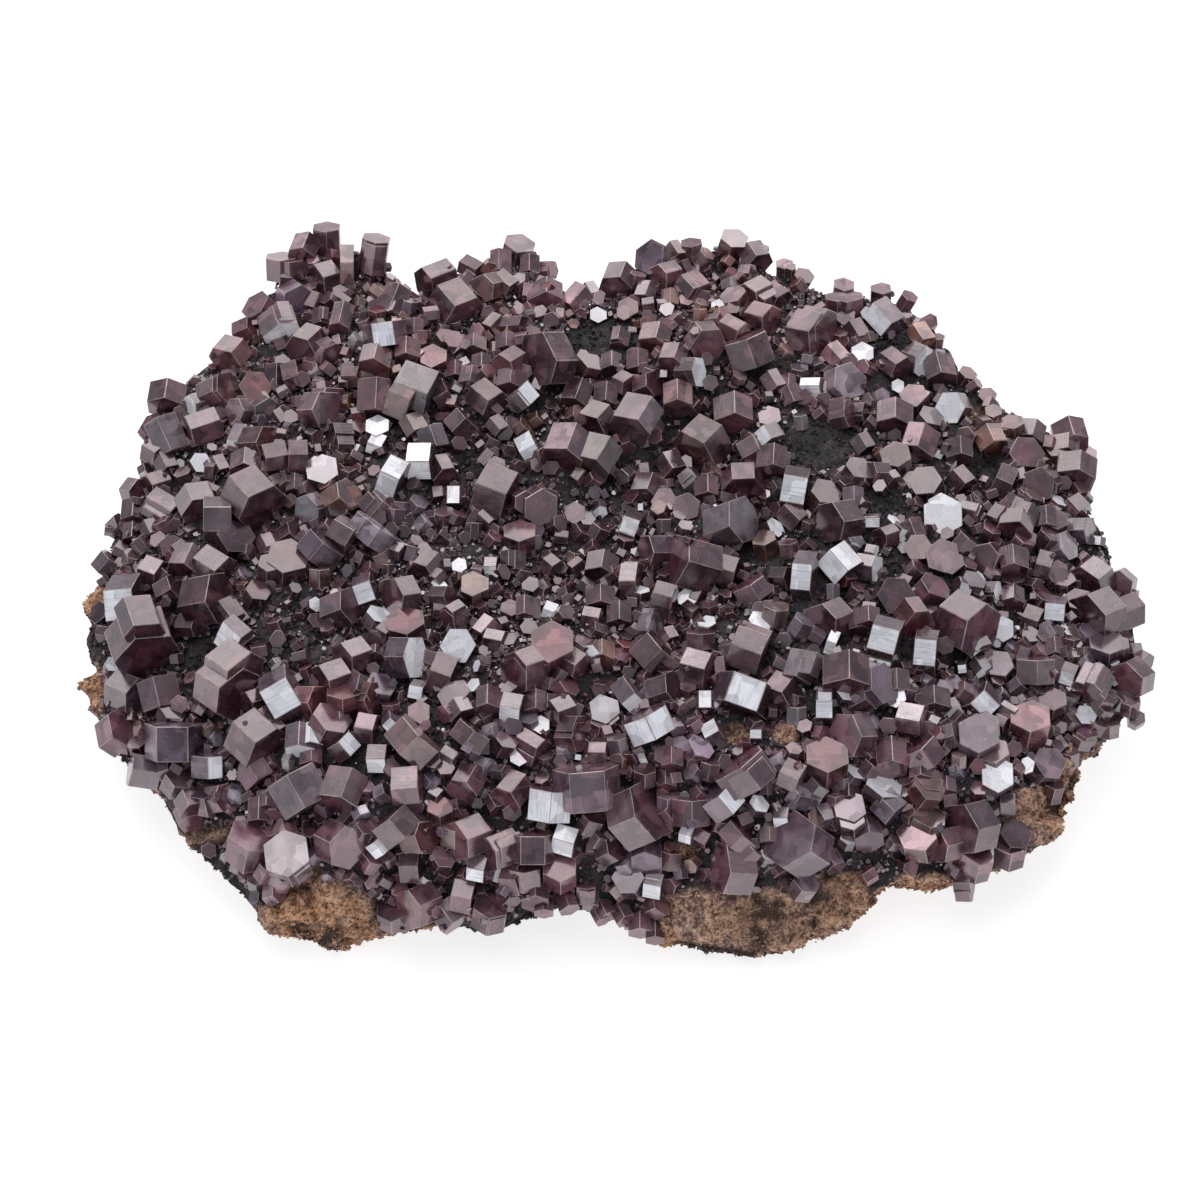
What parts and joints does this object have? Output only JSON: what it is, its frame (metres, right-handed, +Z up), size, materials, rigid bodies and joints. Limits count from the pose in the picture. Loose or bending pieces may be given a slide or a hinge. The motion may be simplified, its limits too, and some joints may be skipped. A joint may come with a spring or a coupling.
{
  "type": "vanadinite specimen",
  "caption": "Low plate of dark rock with a flat underside, its top closely set with short dark red-brown six-sided vanadinite prisms.",
  "frame": {"origin": "middle of the flat underside on which the specimen rests", "axes": "+X along the specimen's length, +Y from its low front edge to its high back edge, +Z up out of the crystal-covered face"},
  "size_m": [0.1482, 0.1107, 0.0343],
  "materials": {
    "rock": "rough, grainy, blackened rock with ochre patches",
    "vanadinite": "dark red-brown, resinous to nearly metallic lustre"
  },
  "bodies": {
    "root": {"crystal_01": "vanadinite", "crystal_02": "vanadinite", "crystal_03": "vanadinite", "crystal_04": "vanadinite", "crystal_05": "vanadinite", "crystal_06": "vanadinite", "crystal_07": "vanadinite", "crystal_08": "vanadinite", "crystal_09": "vanadinite", "crystal_10": "vanadinite", "crystal_11": "vanadinite", "crystal_12": "vanadinite", "crystal_13": "vanadinite", "crystal_14": "vanadinite", "crystal_15": "vanadinite", "crystal_16": "vanadinite", "crystal_17": "vanadinite", "crystal_18": "vanadinite", "crystal_19": "vanadinite", "crystal_20": "vanadinite", "crystal_21": "vanadinite", "crystal_22": "vanadinite", "crystal_23": "vanadinite", "crystal_24": "vanadinite", "crystal_25": "vanadinite", "crystal_26": "vanadinite", "crystal_27": "vanadinite", "crystal_28": "vanadinite", "crystal_29": "vanadinite", "crystal_30": "vanadinite", "crystal_31": "vanadinite", "crystal_32": "vanadinite", "crystal_33": "vanadinite", "crystal_34": "vanadinite", "crystal_35": "vanadinite", "crystal_36": "vanadinite", "crystal_37": "vanadinite", "crystal_38": "vanadinite", "crystal_39": "vanadinite", "crystal_40": "vanadinite", "matrix": "rock"}
  },
  "joints": []
}
